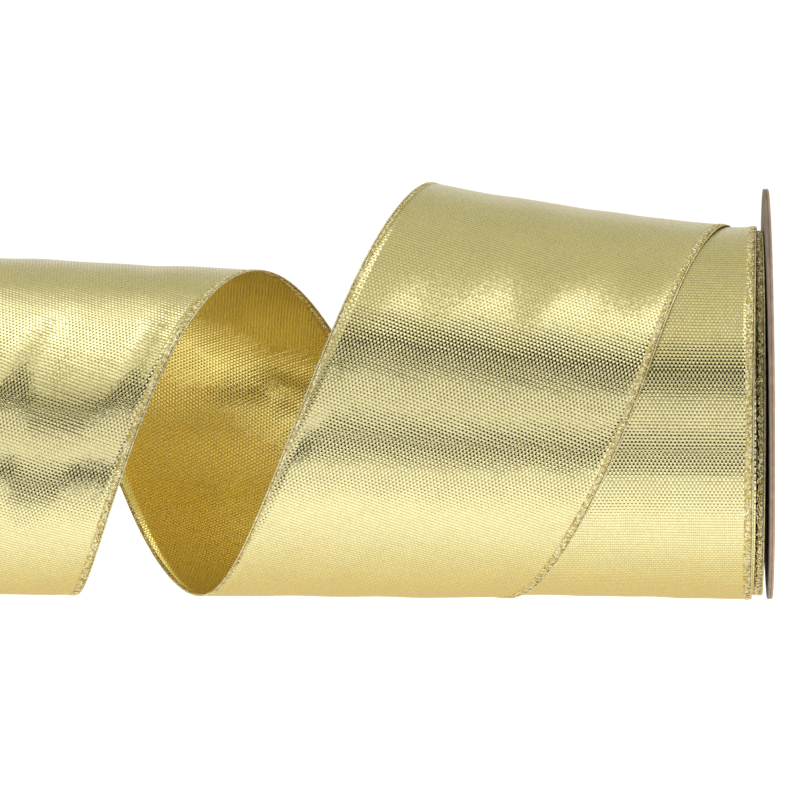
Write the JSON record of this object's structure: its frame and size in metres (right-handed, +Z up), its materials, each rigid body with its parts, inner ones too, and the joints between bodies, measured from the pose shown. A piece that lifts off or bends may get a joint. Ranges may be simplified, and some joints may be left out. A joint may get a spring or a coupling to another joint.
{
  "type": "ribbon spool",
  "caption": "Cardboard spool of wide wired metallic ribbon, its outer turns loosened and its last length drawn off sideways in round coils.",
  "frame": {"origin": "centre of the bottom of the bounding box, on the surface that the ribbon rests on", "axes": "+X along the spool's axis, from the ribbon's free end to the spool; +Y towards the back; +Z up"},
  "size_m": [0.2306, 0.0918, 0.0895],
  "materials": {
    "gold_cloth": "plain-woven flat metallic yarn, bright",
    "gold_thread": "metallic overlock thread",
    "iron_wire": "annealed wire",
    "kraft_tube": "spiral-wound kraft paper, matte",
    "grey_board": "pressed grey-brown board, matte",
    "kraft_facing": "smooth kraft paper, matte",
    "clear_tape": "thin adhesive tape"
  },
  "bodies": {
    "ribbon": {"ribbon_cloth": "gold_cloth", "left_edge_wire": "iron_wire", "right_edge_wire": "iron_wire", "left_edge_binding": "gold_thread", "right_edge_binding": "gold_thread"},
    "spool": {"core_tube": "kraft_tube", "left_flange_board": "grey_board", "left_flange_facing": "kraft_facing", "right_flange_board": "grey_board", "right_flange_facing": "kraft_facing", "start_tape": "clear_tape", "wound_left_edge": "gold_thread", "wound_cloth": "gold_cloth", "wound_right_edge": "gold_thread"}
  },
  "joints": [
    {"name": "spool_turn", "type": "hinge", "parent": "ribbon", "child": "spool", "pos_m": [0.08055, 0.0005, 0.04441], "axis": [1, 0, 0], "continuous": true}
  ]
}
